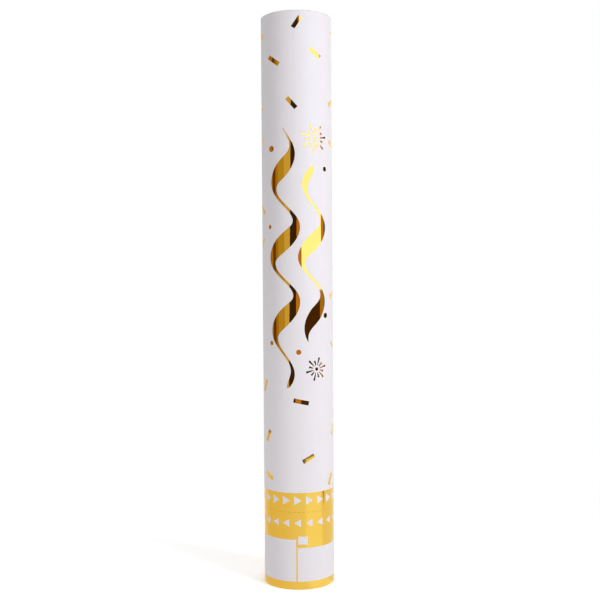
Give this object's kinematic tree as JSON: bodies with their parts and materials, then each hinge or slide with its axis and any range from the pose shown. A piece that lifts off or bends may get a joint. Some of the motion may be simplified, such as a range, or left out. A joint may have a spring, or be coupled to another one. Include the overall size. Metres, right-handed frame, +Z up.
{
  "type": "confetti popper",
  "caption": "Twist-release confetti popper: a white and gold paper-wrapped tube with a gold foil grip, an air bottle with a screw-out valve, wads and stacked confetti.",
  "frame": {"origin": "centre of the grip's foot, on the surface that the popper stands on", "axes": "+Z up the axis to the mouth, -Y towards the viewer of the picture (the front), +X to their right"},
  "size_m": [0.05, 0.05, 0.4],
  "materials": {
    "cardboard": "grey-brown wound board",
    "white_paper": "satin coated paper",
    "gold_foil_paper": "metallised gold foil on paper",
    "gold_foil_slips": "cut slips of metallised gold film",
    "white_plastic": "moulded polypropylene",
    "white_foam": "closed-cell foam",
    "aluminium": "drawn, unpainted",
    "brass": "turned",
    "steel": "ground pin",
    "black_rubber": "moulded nitrile rubber"
  },
  "bodies": {
    "grip": {"grip_tube": "cardboard", "grip_wrap": "gold_foil_paper", "base_plug": "white_plastic", "bottle_pad": "white_foam", "gas_bottle": "aluminium", "fill_bung": "black_rubber", "coupler": "white_plastic", "neck_gasket": "black_rubber", "valve_body": "brass", "crimp_ring": "aluminium"},
    "barrel": {"barrel_tube": "cardboard", "barrel_wrap": "white_paper", "bearing_ring": "white_plastic", "drive_spider": "white_plastic", "mouth_seal": "gold_foil_paper"},
    "valve_plug": {"valve_plug": "white_plastic", "plug_seal": "black_rubber", "drive_pin": "steel"},
    "payload": {"pusher_disc": "cardboard", "foam_wad": "white_foam", "confetti_stacks": "gold_foil_slips", "top_disc": "white_paper"}
  },
  "joints": [
    {"name": "barrel_twist", "type": "hinge", "parent": "grip", "child": "barrel", "pos_m": [0, 0, 0.054], "axis": [0, 0, 1], "range_deg": [0, 90]},
    {"name": "valve_lift", "type": "slide", "parent": "barrel", "child": "valve_plug", "axis": [0, 0, 1], "range_m": [0, 0.005]},
    {"name": "payload_slide", "type": "slide", "parent": "barrel", "child": "payload", "axis": [0, 0, 1], "range_m": [0, 0.057]}
  ],
  "couplings": [
    {"joint": "valve_lift", "follows": "barrel_twist", "m_per_rad": 0.003183}
  ]
}
